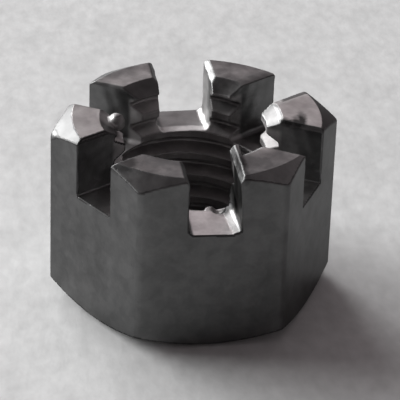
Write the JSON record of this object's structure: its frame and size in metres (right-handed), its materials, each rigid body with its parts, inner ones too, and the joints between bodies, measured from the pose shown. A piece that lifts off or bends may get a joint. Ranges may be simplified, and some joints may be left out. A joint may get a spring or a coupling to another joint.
{
  "type": "castle nut",
  "caption": "Slotted hexagon nut, chamfered at both ends, with a coarse thread and a slot for a split pin in the middle of each flat.",
  "frame": {"origin": "centre of the flat resting face, on the thread axis", "axes": "+Z along the thread axis, out of the slotted end; +X towards an upright corner of the hexagon; +Y square to a flat and along a pair of slots"},
  "size_m": [0.0218, 0.019, 0.0145],
  "materials": {
    "dark_steel": "dark oiled steel, dull on the flats and brighter on the milled slots and turned ends"
  },
  "bodies": {
    "root": {"castle_nut": "dark_steel"}
  },
  "joints": []
}
